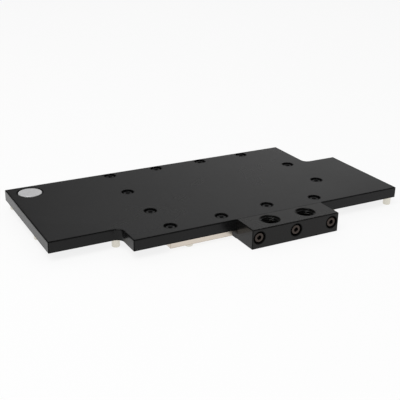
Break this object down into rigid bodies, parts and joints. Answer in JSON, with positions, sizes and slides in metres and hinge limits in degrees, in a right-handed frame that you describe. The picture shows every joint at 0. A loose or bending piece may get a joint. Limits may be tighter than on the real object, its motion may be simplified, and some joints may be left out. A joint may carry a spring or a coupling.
{
  "type": "liquid cooling cold plate",
  "caption": "Full-length liquid cold plate for a processor board: black cover over a finned plated base, side terminal with threaded ports, recessed screws and standoffs.",
  "frame": {"origin": "centre of the four bolts round the chip, on the board's face where the standoffs end", "axes": "+X along the plate's length, +Y from the port terminal to the back edge, +Z from the board up through the cover"},
  "size_m": [0.262, 0.1391, 0.014],
  "materials": {
    "black_plastic": "finely machined black plastic",
    "nickel": "satin nickel plating over copper",
    "steel_sheet": "rolled stainless sheet",
    "seal_rubber": "moulded black rubber",
    "black_screw": "black oxide steel",
    "bronze_screw": "turned steel with a brown-grey tone",
    "badge_metal": "brushed aluminium"
  },
  "bodies": {
    "root": {"cover_plate": "black_plastic", "terminal_block": "black_plastic", "base_plate": "nickel", "jet_plate": "steel_sheet", "chamber_seal": "seal_rubber", "inlet_face_seal": "seal_rubber", "outlet_face_seal": "seal_rubber", "inlet_plug": "nickel", "outlet_plug": "nickel", "inlet_plug_seal": "seal_rubber", "outlet_plug_seal": "seal_rubber", "badge_disc": "badge_metal", "cover_screws": "black_screw", "terminal_screws": "bronze_screw", "standoff_left_back": "nickel", "standoff_left_front": "nickel", "standoff_notch": "nickel", "standoff_right_front": "nickel", "standoff_right_back": "nickel", "standoff_front_middle": "nickel", "standoff_chip_front_left": "nickel", "standoff_chip_front_right": "nickel", "standoff_chip_back_left": "nickel", "standoff_chip_back_right": "nickel"}
  },
  "joints": []
}
